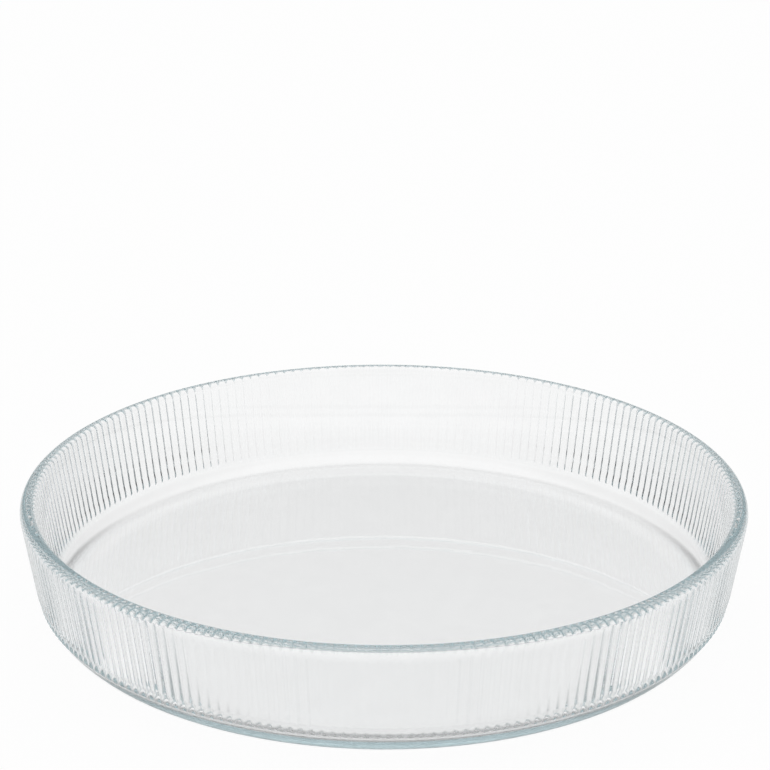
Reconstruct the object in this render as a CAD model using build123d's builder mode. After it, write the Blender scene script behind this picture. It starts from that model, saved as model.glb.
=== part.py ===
"""Round pie dish in clear pressed glass, with fine upright reeds round its wall.

The dish is one moulding: a thick flat floor, a soft outer corner that it stands on, a
leaning wall and a fully rounded rim. The outside of the wall is reeded: crowned ribs stand
side by side all round it and meet in sharp valleys. At their tops the reeds run out into
the rounding of the rim, and at their feet they end in sloping noses on the outer corner.

Millimetres, +Z up. The origin is the centre of the base, on the plane that the dish
stands on.
"""
import os
from math import acos, asin, atan, cos, degrees, hypot, radians, sin, tan

from build123d import *

# Overall size: the diameter is taken over the reeds, where the rim's rounding begins
rim_diameter = 300.0
height = 51.5

# Glass section
wall_draft = 9.5
rim_outer_radius = 2.8
rim_inner_radius = 2.6
rim_thickness = 6.1
inner_wall_draft = 9.0
inner_corner_radius = 8.5
floor_thickness = 7.0
outer_corner_radius = 20.0

# Reeds: each nose rises from the outer corner, between the two nose levels
reed_count = 224
reed_height = 0.45
nose_foot_level = 11.0
nose_level = 12.5

# A narrow bevel leads from the reeds' run-out to the rim's rounding, over this much turn
bevel_turn = 10.0

# How far the shape of the hollow stands above the rim
clearance = 3.0

lean = tan(radians(wall_draft))
inner_lean = tan(radians(inner_wall_draft))
rim_radius = rim_diameter / 2
rounding_level = height - rim_outer_radius


def crest_line(level):
    """Radius of the wall over the reeds' crests at a level."""
    return rim_radius + (level - rounding_level) * lean


def valley_line(level):
    """Radius of the wall in the valleys between the reeds at a level."""
    return crest_line(level) - reed_height


def inner_line(level):
    """Radius of the inside of the wall at a level."""
    return valley_line(height) - rim_thickness - (height - level) * inner_lean


# Where the outer corner's arc has its centre, and where the noses start on it
corner_centre = valley_line(0) - outer_corner_radius * tan(radians(90 - wall_draft) / 2)
nose_turn = degrees(asin((nose_foot_level - outer_corner_radius) / outer_corner_radius))
nose_foot_radius = corner_centre + outer_corner_radius * cos(radians(nose_turn))

# Where the rim's rounding has its centre, and where the valleys run out on it
rounding_centre = rim_radius - rim_outer_radius
valley_reach = rim_outer_radius * hypot(1, lean)
run_out_turn = degrees(acos((rim_outer_radius - reed_height) / valley_reach) - atan(lean))
run_out_level = rounding_level + rim_outer_radius * sin(radians(run_out_turn))
run_out_radius = rounding_centre + rim_outer_radius * cos(radians(run_out_turn))


def on_circle(radius, reed, level):
    """A point on a circle, at a reed's number or a part of the way to the next one."""
    turn = radians(360 * reed / reed_count)
    return (radius * cos(turn), radius * sin(turn), level)


def wall_outline(level, valley_radius, crest_radius):
    """Cross-section of the wall at a level: one arc over each reed's crown."""
    crowns = []
    for reed in range(reed_count):
        next_reed = (reed + 1) % reed_count
        crown = ThreePointArc(
            on_circle(valley_radius, reed - 0.5, level),
            on_circle(crest_radius, reed, level),
            on_circle(valley_radius, next_reed - 0.5, level),
        )
        crowns.append(crown)
    return Face(Wire(crowns))


# From the foot up: the start of the noses, the full reeds and their run-out
wall_outlines = [
    wall_outline(nose_foot_level, nose_foot_radius, nose_foot_radius),
    wall_outline(nose_level, valley_line(nose_level), crest_line(nose_level)),
    wall_outline(rounding_level, valley_line(rounding_level), rim_radius),
    wall_outline(run_out_level, run_out_radius, run_out_radius),
]

with BuildPart() as glass_dish:
    # The foot, up to the start of the noses, with the soft corner that the dish stands on
    with BuildSketch(Plane.XZ):
        with BuildLine():
            corner = CenterArc(
                center=(corner_centre, outer_corner_radius),
                radius=outer_corner_radius,
                start_angle=-90,
                arc_size=90 + nose_turn,
            )
            Polyline(corner @ 1, (0, nose_foot_level), (0, 0), corner @ 0)
        make_face()
    revolve(axis=Axis.Z)

    # The reeded wall
    loft(wall_outlines, ruled=True)

    # The plain rim over the reeds
    with BuildSketch(Plane.XZ):
        with BuildLine():
            rounding = CenterArc(
                center=(rounding_centre, rounding_level),
                radius=rim_outer_radius,
                start_angle=run_out_turn + bevel_turn,
                arc_size=90 - run_out_turn - bevel_turn,
            )
            Polyline(
                rounding @ 1,
                (0, height),
                (0, run_out_level),
                (run_out_radius, run_out_level),
                rounding @ 0,
            )
        make_face()
    revolve(axis=Axis.Z)

    # The hollow, with the soft inner corner round the floor
    with BuildSketch(Plane.XZ):
        with BuildLine():
            FilletPolyline(
                (0, floor_thickness),
                (inner_line(floor_thickness), floor_thickness),
                (inner_line(height + clearance), height + clearance),
                (0, height + clearance),
                radius=[inner_corner_radius, 0],
            )
            Line((0, height + clearance), (0, floor_thickness))
        make_face()
    revolve(axis=Axis.Z, mode=Mode.SUBTRACT)

    # The inner edge of the rim
    rim_edges = glass_dish.edges().filter_by(GeomType.CIRCLE).group_by(Axis.Z)[-1]
    fillet(rim_edges.sort_by(SortBy.RADIUS)[0], rim_inner_radius)

glass_dish.part.label = "glass_dish"
os.makedirs("parts", exist_ok=True)
export_step(glass_dish.part, "parts/glass_dish.step")
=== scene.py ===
"""Looks of the round pie dish: clear pressed glass with fine upright reeds.

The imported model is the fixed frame. The dish's one node is stood for by a finer mesh of the
same section, with softened valleys between the reeds and polished edges at their feet, in a
procedural glass. Metres, +Z up, the origin at the centre of the base.
"""

import bpy
import numpy as np
from math import atan2, cos, hypot, pi, radians, sin, sqrt, tan
from mathutils import Matrix, Vector


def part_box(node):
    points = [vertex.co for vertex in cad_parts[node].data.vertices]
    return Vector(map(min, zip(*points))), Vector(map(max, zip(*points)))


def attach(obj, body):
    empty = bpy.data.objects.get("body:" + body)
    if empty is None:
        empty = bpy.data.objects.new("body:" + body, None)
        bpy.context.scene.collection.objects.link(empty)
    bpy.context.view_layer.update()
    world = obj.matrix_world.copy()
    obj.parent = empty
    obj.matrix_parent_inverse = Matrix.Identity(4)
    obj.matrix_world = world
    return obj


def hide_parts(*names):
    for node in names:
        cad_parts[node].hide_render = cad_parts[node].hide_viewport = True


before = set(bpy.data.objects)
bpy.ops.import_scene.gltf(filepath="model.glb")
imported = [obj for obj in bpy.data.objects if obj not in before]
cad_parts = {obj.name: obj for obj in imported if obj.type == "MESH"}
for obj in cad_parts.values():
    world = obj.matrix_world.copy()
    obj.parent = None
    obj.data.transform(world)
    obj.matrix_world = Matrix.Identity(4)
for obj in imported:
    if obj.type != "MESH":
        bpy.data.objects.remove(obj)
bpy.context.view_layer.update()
lowest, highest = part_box("glass_dish")

# Overall size, from the frame
rim_radius = (highest.x - lowest.x) / 2
height = highest.z - lowest.z

# Glass section
wall_draft = radians(9.5)
rim_outer_radius = 0.0033
rim_inner_radius = 0.0020
rim_thickness = 0.0060
inner_wall_draft = radians(9.0)
inner_corner_radius = 0.007
floor_thickness = 0.0075
outer_corner_radius = 0.020

# Reeds: the first one's crest is at the very front, and softness is a share of their pitch
reed_count = 224
reed_height = 0.0006
first_crest = -pi / 2
valley_softness = 0.1

# The reeds' feet end in noses that slope in to the outer corner
nose_level = 0.0125
nose_height = 0.0015
nose_depth = 0.0015
nose_polish = 0.0003

# A soft step where the side and the bottom of the mould meet: below it the reeds stand in
seam_level = 0.0150
seam_height = 0.0020
seam_step = 0.0004
seam_polish = 0.0010

# Mesh fineness: the steps across a reed crowd towards its valleys, and the flat base and
# floor have coarser rings at these parts of their radius
steps_per_half_reed = 6
valley_crowding = 1.4
corner_steps = 16
nose_steps = 3
polish_steps = 3
wall_steps = 10
rim_steps = 10
flat_parts = (0.25, 0.5, 0.75, 0.93)

# From here on, stops are pairs of a place and the brightness or strength that is reached there

# Glass, a little less clear by the noise of its ripple
glass_index = 1.5
glass_tint = (0.43, 0.65, 0.70, 1)
glass_density = 3.2
ripple_height = 0.00001
ripple_scale = 90.0
clearness_stops = [(0.3, 0.98), (0.7, 1.0)]

# Studio light by the height of the sky, and the share that grey cards at the left and right
# leave of it, by how far sideways one looks
sky_stops = [(0.0, 0.4), (0.45, 0.45), (0.85, 1.15)]
card_stops = [(0.5, 1), (0.9, 0.1)]

# Floor: its white by the noise of its grain, and how plain the camera and the glass see it
floor_reach = 3.0
floor_level = -0.0002
grain_scale = 60.0
grain_stops = [(0.3, 0.94), (0.7, 0.96)]
camera_sees_white = 0.96
glass_sees_white = 0.865

# Painted shade: beside the dish, to the left and right, the floor that glass sees is greyer
painted_side_shade_stops = [(0.12, 1), (0.2, 0.4)]

# Painted shade on the floor that glass sees, under the outer corner, by radius and then by how
# far
# back: a thin ring that fades towards the back, and a broad one in front, away from the light
painted_ring_shade_stops = [(0.1355, 0), (0.1385, 1), (0.1405, 1), (0.1415, 0)]
painted_ring_shade_back_stops = [(0.03, 1), (0.09, 0.25)]
painted_front_shade_stops = [(0.122, 0), (0.130, 1), (0.1405, 1), (0.1415, 0)]
painted_front_shade_back_stops = [(-0.10, 1), (-0.05, 0)]

# A ramp takes no places below 0, so places from front to back are moved up by this much
ramp_shift = 0.5

# Worked out from the values above
lean = tan(wall_draft)
inner_lean = tan(inner_wall_draft)
rounding_level = height - rim_outer_radius


def crest_line(level):
    """Radius of the wall over the reeds' crests at a level."""
    return rim_radius + (level - rounding_level) * lean


def inner_line(level):
    """Radius of the inside of the wall at a level."""
    return crest_line(height) - reed_height - rim_thickness - (height - level) * inner_lean


def grooves_across_reed():
    """Places across one reed from -0.5 to 0.5, and the groove's depth there, 0 on the crest."""
    parts = np.arange(steps_per_half_reed + 1) / steps_per_half_reed
    half = 0.5 * parts**valley_crowding
    across = np.concatenate([half - 0.5, 0.5 - half[-2:0:-1]])
    from_valley = 0.5 - np.abs(across)
    softened = np.sqrt(from_valley**2 + valley_softness**2) - valley_softness
    softened *= 0.5 / softened.max()
    return across, 1 - 4 * softened * (1 - softened)


def row(radius, level, columns):
    """Section points in a row round the dish, from numbers or one number for each column."""
    points = np.empty((columns, 2))
    points[:, 0] = radius
    points[:, 1] = level
    return points


def unit(vectors):
    """Vectors of the same directions, one long."""
    return vectors / np.linalg.norm(vectors, axis=-1, keepdims=True)


def rounded(before, corner, after, radius, steps):
    """Rows of the arc that rounds a corner between the directions to two other rows."""
    towards_before = unit(before - corner)
    towards_after = unit(after - corner)
    cosine = (towards_before * towards_after).sum(-1, keepdims=True)
    half_angle = np.arccos(np.clip(cosine, -1, 1)) / 2
    centre = corner + unit(towards_before + towards_after) * radius / np.sin(half_angle)
    start = corner + towards_before * radius / np.tan(half_angle) - centre
    end = corner + towards_after * radius / np.tan(half_angle) - centre
    sweep = pi - 2 * half_angle
    rows = []
    for part in np.linspace(0, 1, steps + 1):
        spoke = np.sin((1 - part) * sweep) * start + np.sin(part * sweep) * end
        rows.append(centre + spoke / np.sin(sweep))
    return rows


def straight(first, last, steps):
    """Rows strictly between two rows."""
    return [first + (last - first) * step / steps for step in range(1, steps)]


def corner_rows(columns):
    """The soft outer corner, from the flat base to where the cone of the noses leaves it."""
    centre = crest_line(0) - reed_height - outer_corner_radius * tan((pi / 2 - wall_draft) / 2)
    tip = Vector((crest_line(nose_level) - centre, nose_level - outer_corner_radius))
    inwards = Vector((-nose_depth, -nose_height)).normalized()
    along = tip.dot(inwards)
    foot = tip - inwards * (along + sqrt(along**2 - tip.dot(tip) + outer_corner_radius**2))
    rows = []
    for turn in np.linspace(-pi / 2, atan2(foot.y, foot.x), corner_steps + 1):
        radius = centre + outer_corner_radius * cos(turn)
        rows.append(row(radius, outer_corner_radius * (1 + sin(turn)), columns))
    return rows


def rounding_rows(depth):
    """The outer rounding of the rim, from where the reeds run out on it up to its top."""
    reach = rim_outer_radius * hypot(1, lean)
    run_out = np.maximum(np.arccos((rim_outer_radius - depth) / reach) - wall_draft, 0)
    rows = []
    for part in np.linspace(0, 1, rim_steps + 1):
        turn = run_out + (pi / 2 - run_out) * part
        radius = rim_radius - rim_outer_radius * (1 - np.cos(turn))
        level = rounding_level + rim_outer_radius * np.sin(turn)
        rows.append(row(radius, level, len(depth)))
    return rows


def wall_rows(foot, groove):
    """The noses, the soft step, the reeds and the outer rounding of the rim over them."""
    columns = len(groove)
    depth = reed_height * groove
    set_in = depth + seam_step
    nose_ends = nose_level - depth / (nose_depth / nose_height - lean)
    nose_edge = row(crest_line(nose_ends) - set_in, nose_ends, columns)
    below_seam = row(crest_line(seam_level) - set_in, seam_level, columns)
    seam_top = seam_level + seam_height
    above_seam = row(crest_line(seam_top) - depth, seam_top, columns)
    rounding = rounding_rows(depth)
    edge = rounded(foot, nose_edge, below_seam, nose_polish, polish_steps)
    seam = rounded(nose_edge, below_seam, above_seam, seam_polish, polish_steps)
    seam += rounded(below_seam, above_seam, rounding[0], seam_polish, polish_steps)
    rows = straight(foot, edge[0], nose_steps) + edge
    rows += straight(edge[-1], seam[0], nose_steps) + seam
    return rows + straight(seam[-1], rounding[0], wall_steps) + rounding


def inside_rows(columns):
    """The inner edge of the rim, the inner wall and the soft corner round the flat floor."""
    rim_top = row(rim_radius - rim_outer_radius, height, columns)
    rim_edge = row(inner_line(height), height, columns)
    wall_foot = row(inner_line(floor_thickness), floor_thickness, columns)
    floor_centre = row(0, floor_thickness, columns)
    edge = rounded(rim_top, rim_edge, wall_foot, rim_inner_radius, rim_steps)
    corner = rounded(rim_edge, wall_foot, floor_centre, inner_corner_radius, corner_steps)
    return edge + straight(edge[-1], corner[0], wall_steps) + corner


def turned(section, turns):
    """A ring of vertices from a row of section points."""
    radii, levels = section[:, 0], section[:, 1]
    return np.stack([radii * np.cos(turns), radii * np.sin(turns), levels], -1)


def flat_rings(edge_radius, level, turns, parts):
    """Coarser rings on the flat base or floor, inside its edge."""
    return [turned(row(edge_radius * part, level, len(turns)), turns) for part in parts]


def dish_rings():
    """Rings of vertices from the middle of the base, up the outside and down to the floor."""
    across, groove_across = grooves_across_reed()
    reeds = np.arange(reed_count)
    turns = (2 * pi * (reeds[:, None] + across) / reed_count + first_crest).ravel()
    valley_turns = 2 * pi * (reeds - 0.5) / reed_count + first_crest
    groove = np.tile(groove_across, reed_count)

    corner = corner_rows(len(turns))
    section = corner + wall_rows(corner[-1], groove) + inside_rows(len(turns))
    rings = flat_rings(section[0][0, 0], 0, valley_turns, flat_parts)
    rings += [turned(points, turns) for points in section]
    floor_radius = section[-1][0, 0]
    return rings + flat_rings(floor_radius, floor_thickness, valley_turns, flat_parts[::-1])


def faces_between(first, first_count, second, second_count):
    """Faces that join two rings, where one has a whole number of times the other's vertices."""
    if first_count < second_count:
        return [face[::-1] for face in faces_between(second, second_count, first, first_count)]
    ratio = first_count // second_count
    half = ratio // 2
    faces = []
    for step in range(second_count):
        near = [first + (step * ratio + k) % first_count for k in range(ratio + 1)]
        far = (second + step, second + (step + 1) % second_count)
        if ratio == 1:
            faces.append((near[0], near[1], far[1], far[0]))
            continue
        faces += [(near[k], near[k + 1], far[0]) for k in range(half)]
        faces.append((near[half], far[1], far[0]))
        faces += [(near[k], near[k + 1], far[1]) for k in range(half, ratio)]
    return faces


def dish_faces(rings):
    """Faces between the rings, and a fan round the base's centre and round the floor's."""
    starts = [1]
    for ring in rings:
        starts.append(starts[-1] + len(ring))
    faces = []
    for index in range(len(rings) - 1):
        counts = len(rings[index]), len(rings[index + 1])
        faces += faces_between(starts[index], counts[0], starts[index + 1], counts[1])
    for reed in range(reed_count):
        next_reed = (reed + 1) % reed_count
        faces.append((0, starts[0] + next_reed, starts[0] + reed))
        faces.append((starts[-1], starts[-2] + reed, starts[-2] + next_reed))
    return faces


def build_dish():
    """The whole dish as one closed mesh."""
    rings = dish_rings()
    base_centre = np.array([[0, 0, 0]])
    floor_centre = np.array([[0, 0, floor_thickness]])
    vertices = np.concatenate([base_centre] + rings + [floor_centre])
    mesh = bpy.data.meshes.new("pressed_glass_dish")
    mesh.from_pydata(vertices.tolist(), [], dish_faces(rings))
    mesh.polygons.foreach_set("use_smooth", np.ones(len(mesh.polygons), bool))
    mesh.update()
    dish = bpy.data.objects.new("pressed_glass_dish", mesh)
    bpy.context.scene.collection.objects.link(dish)
    return dish


def new_material(name):
    """A material and its node tree."""
    material = bpy.data.materials.new(name)
    material.use_nodes = True
    return material, material.node_tree


def math_node(tree, operation, *inputs):
    """The result of a math node whose inputs are numbers or other nodes' outputs."""
    node = tree.nodes.new("ShaderNodeMath")
    node.operation = operation
    for socket, value in zip(node.inputs, inputs):
        if isinstance(value, bpy.types.NodeSocket):
            tree.links.new(value, socket)
        else:
            socket.default_value = value
    return node.outputs[0]


def grey_ramp(tree, source, stops, easing="LINEAR"):
    """The grey that a ramp with these stops gives for a number."""
    node = tree.nodes.new("ShaderNodeValToRGB")
    tree.links.new(source, node.inputs["Fac"])
    node.color_ramp.interpolation = easing
    elements = node.color_ramp.elements
    while len(elements) < len(stops):
        elements.new(0.5)
    for element, (place, bright) in zip(elements, stops):
        element.position = place
        element.color = (bright, bright, bright, 1)
    return node.outputs["Color"]


def clear_glass():
    """Clear glass, faintly blue-green where it is deep, with the soft ripple of a pressing."""
    material, tree = new_material("clear_glass")
    shader = tree.nodes["Principled BSDF"]
    shader.inputs["Transmission Weight"].default_value = 1.0
    shader.inputs["IOR"].default_value = glass_index
    shader.inputs["Roughness"].default_value = 0.0

    place = tree.nodes.new("ShaderNodeTexCoord")
    ripple = tree.nodes.new("ShaderNodeTexNoise")
    ripple.inputs["Scale"].default_value = ripple_scale
    tree.links.new(place.outputs["Object"], ripple.inputs["Vector"])
    bump = tree.nodes.new("ShaderNodeBump")
    bump.inputs["Distance"].default_value = ripple_height
    tree.links.new(ripple.outputs["Fac"], bump.inputs["Height"])
    tree.links.new(bump.outputs["Normal"], shader.inputs["Normal"])
    clearness = grey_ramp(tree, ripple.outputs["Fac"], clearness_stops)
    tree.links.new(clearness, shader.inputs["Base Color"])

    absorption = tree.nodes.new("ShaderNodeVolumeAbsorption")
    absorption.inputs["Color"].default_value = glass_tint
    absorption.inputs["Density"].default_value = glass_density
    output = tree.nodes["Material Output"]
    tree.links.new(absorption.outputs["Volume"], output.inputs["Volume"])
    return material


def patch_of_painted_shade(tree, outwards, backwards, radius_stops, back_stops):
    """How deep a ring of painted shade is, by radius, times its strength from front to back."""
    depth = grey_ramp(tree, outwards, radius_stops, "EASE")
    shifted = [(place + ramp_shift, strength) for place, strength in back_stops]
    strength = grey_ramp(tree, backwards, shifted, "EASE")
    return math_node(tree, "MULTIPLY", depth, strength)


def glass_share_with_painted_shade(tree):
    """How much of the floor's plain white glass sees at each place of it, after the painted shade
    round the foot and at the sides.
    """
    position = tree.nodes.new("ShaderNodeNewGeometry").outputs["Position"]
    length = tree.nodes.new("ShaderNodeVectorMath")
    length.operation = "LENGTH"
    tree.links.new(position, length.inputs[0])
    outwards = length.outputs["Value"]
    split = tree.nodes.new("ShaderNodeSeparateXYZ")
    tree.links.new(position, split.inputs[0])
    sideways = math_node(tree, "ABSOLUTE", split.outputs["X"])
    backwards = math_node(tree, "ADD", split.outputs["Y"], ramp_shift)

    # Painted shade: a thin ring and a broad patch in front darken the floor that glass sees
    ring = patch_of_painted_shade(tree, outwards, backwards, painted_ring_shade_stops, painted_ring_shade_back_stops)
    front = patch_of_painted_shade(tree, outwards, backwards, painted_front_shade_stops, painted_front_shade_back_stops)
    shade = math_node(tree, "MAXIMUM", ring, front)
    lost = math_node(tree, "MULTIPLY", shade, glass_sees_white)
    light = math_node(tree, "SUBTRACT", glass_sees_white, lost)
    # Painted shade: the floor that glass sees is greyer to the left and right
    return math_node(tree, "MULTIPLY", light, grey_ramp(tree, sideways, painted_side_shade_stops, "EASE"))


def floor_material():
    """White that keeps the dish's shade, plain white to the camera, and to glass white with
    painted shade.
    """
    material, tree = new_material("floor_white")
    tree.nodes.remove(tree.nodes["Principled BSDF"])
    grain = tree.nodes.new("ShaderNodeTexNoise")
    grain.inputs["Scale"].default_value = grain_scale
    diffuse = tree.nodes.new("ShaderNodeBsdfDiffuse")
    whites = grey_ramp(tree, grain.outputs["Fac"], grain_stops)
    tree.links.new(whites, diffuse.inputs["Color"])
    emission = tree.nodes.new("ShaderNodeEmission")

    rays = tree.nodes.new("ShaderNodeLightPath").outputs
    to_camera = math_node(tree, "MULTIPLY", rays["Is Camera Ray"], camera_sees_white)
    through = math_node(tree, "MAXIMUM", rays["Is Glossy Ray"], rays["Is Transmission Ray"])
    # Glass sees the floor's white with painted shade round the foot and at the sides
    to_glass = math_node(tree, "MULTIPLY", through, glass_share_with_painted_shade(tree))
    mix = tree.nodes.new("ShaderNodeMixShader")
    tree.links.new(math_node(tree, "ADD", to_camera, to_glass), mix.inputs["Fac"])
    tree.links.new(diffuse.outputs[0], mix.inputs[1])
    tree.links.new(emission.outputs[0], mix.inputs[2])
    tree.links.new(mix.outputs[0], tree.nodes["Material Output"].inputs["Surface"])
    return material


def white_floor():
    """The floor that the dish stands on, a hair below it."""
    signs = ((-1, -1), (1, -1), (1, 1), (-1, 1))
    corners = [(x * floor_reach, y * floor_reach, floor_level) for x, y in signs]
    mesh = bpy.data.meshes.new("floor")
    mesh.from_pydata(corners, [], [(0, 1, 2, 3)])
    mesh.materials.append(floor_material())
    floor = bpy.data.objects.new("floor", mesh)
    bpy.context.scene.collection.objects.link(floor)


def studio_world():
    """A soft studio, brightest overhead, with grey cards at the sides, white to the camera."""
    world = bpy.data.worlds.new("studio")
    bpy.context.scene.world = world
    world.use_nodes = True
    tree = world.node_tree
    direction = tree.nodes.new("ShaderNodeTexCoord").outputs["Generated"]
    split = tree.nodes.new("ShaderNodeSeparateXYZ")
    tree.links.new(direction, split.inputs[0])
    sky = grey_ramp(tree, split.outputs["Z"], sky_stops)
    sideways = math_node(tree, "ABSOLUTE", split.outputs["X"])
    light = math_node(tree, "MULTIPLY", sky, grey_ramp(tree, sideways, card_stops))
    seen_directly = tree.nodes.new("ShaderNodeLightPath").outputs["Is Camera Ray"]
    shown = math_node(tree, "MAXIMUM", light, seen_directly)
    tree.links.new(shown, tree.nodes["Background"].inputs["Color"])


def photo_camera():
    """The photograph's view, fitted to the dish's outline in a 770 by 770 frame."""
    distance = 1.15
    elevation = radians(25.439)
    look_down = radians(20.892)
    look_right = radians(0.013)
    roll = radians(0.194)
    focal_pixels = 2721.6
    frame_pixels = 770

    data = bpy.data.cameras.new("photo_camera")
    data.sensor_width = 36.0
    data.lens = focal_pixels * data.sensor_width / frame_pixels
    data.clip_end = 20.0
    camera = bpy.data.objects.new("photo_camera", data)
    bpy.context.scene.collection.objects.link(camera)
    turn = Matrix.Rotation(-look_right, 4, "Z") @ Matrix.Rotation(pi / 2 - look_down, 4, "X")
    turn = turn @ Matrix.Rotation(roll, 4, "Z")
    place = Vector((0, -distance * cos(elevation), distance * sin(elevation)))
    camera.matrix_world = Matrix.Translation(place) @ turn
    bpy.context.scene.camera = camera


def render_settings():
    """Plain view transform, and enough bounces for light that is piped round inside the glass."""
    bounces = 32
    bpy.context.scene.view_settings.view_transform = "Standard"
    cycles = bpy.context.scene.cycles
    cycles.max_bounces = bounces
    cycles.glossy_bounces = bounces
    cycles.transmission_bounces = bounces


dish = build_dish()
dish.data.materials.append(clear_glass())
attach(dish, "root")
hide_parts("glass_dish")

white_floor()
studio_world()
photo_camera()
render_settings()
